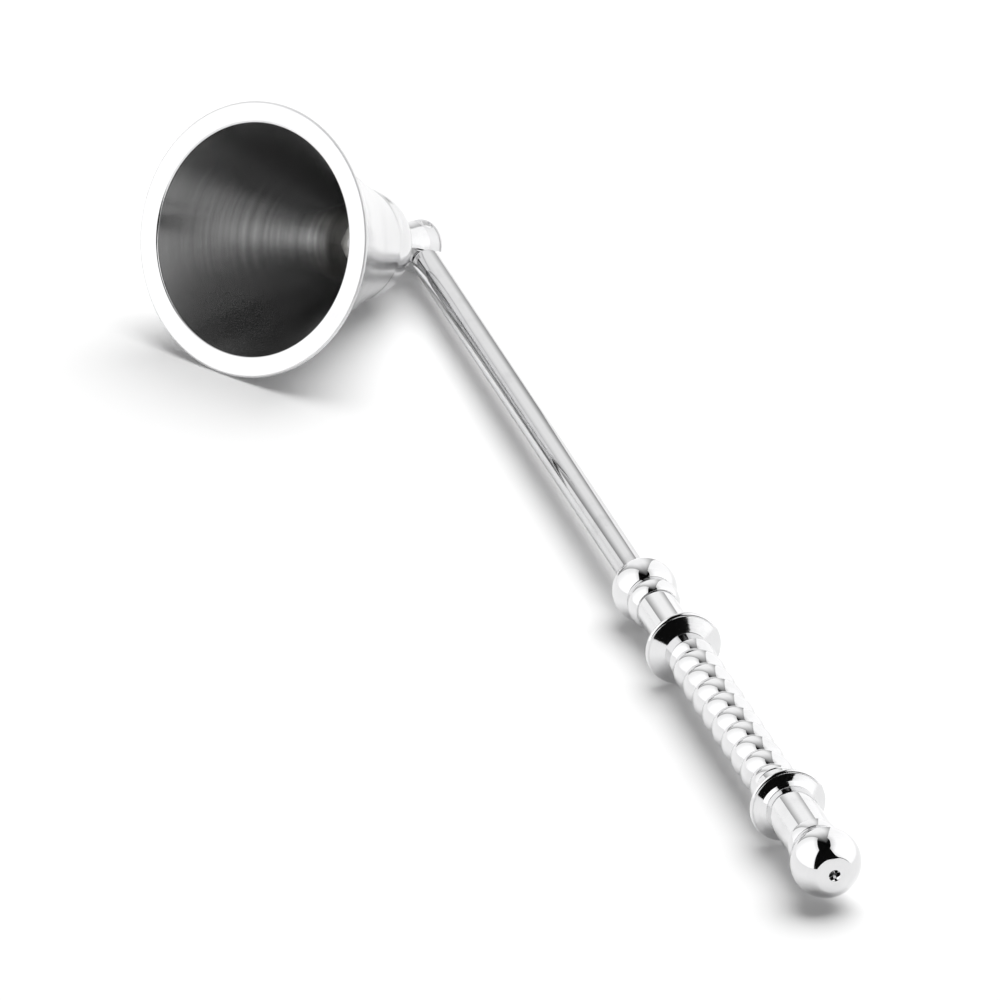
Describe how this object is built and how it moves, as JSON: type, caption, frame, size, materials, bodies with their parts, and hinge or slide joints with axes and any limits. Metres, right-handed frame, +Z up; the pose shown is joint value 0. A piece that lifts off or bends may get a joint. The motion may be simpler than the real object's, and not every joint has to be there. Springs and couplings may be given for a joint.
{
  "type": "candle snuffer",
  "caption": "Polished metal candle snuffer with a hinged flared bell on a long rod and a turned handle with balls, discs and a rope-twist grip.",
  "frame": {"origin": "on the table, under the middle of the whole snuffer as it lies", "axes": "+Z up from the table; +X along the longest extent, from the bell towards the end of the handle; the bell's axis lies in the YZ plane with its mouth towards -Y"},
  "size_m": [0.1872, 0.1246, 0.0355],
  "materials": {
    "polished_metal": "mirror-polished, with faint turning marks; turned and darker inside the bell",
    "plain_steel": "plain turned steel"
  },
  "bodies": {
    "handle": {"rod": "polished_metal", "front_ball": "polished_metal", "front_bead": "polished_metal", "front_sleeve": "polished_metal", "front_flange": "polished_metal", "front_grip_ring": "polished_metal", "twisted_grip": "polished_metal", "rear_grip_ring": "polished_metal", "rear_flange": "polished_metal", "rear_sleeve": "polished_metal", "rear_bead": "polished_metal", "end_ball": "polished_metal"},
    "bell": {"bell": "polished_metal", "bell_knob": "polished_metal", "knob_washer": "plain_steel", "knob_nut": "plain_steel", "hinge_pin": "polished_metal"}
  },
  "joints": [
    {"name": "bell_hinge", "type": "hinge", "parent": "handle", "child": "bell", "pos_m": [-0.07458, 0.05936, 0.00383], "axis": [-0.2374, -0.349, -0.9066], "range_deg": [-2.6, 248.4]}
  ]
}
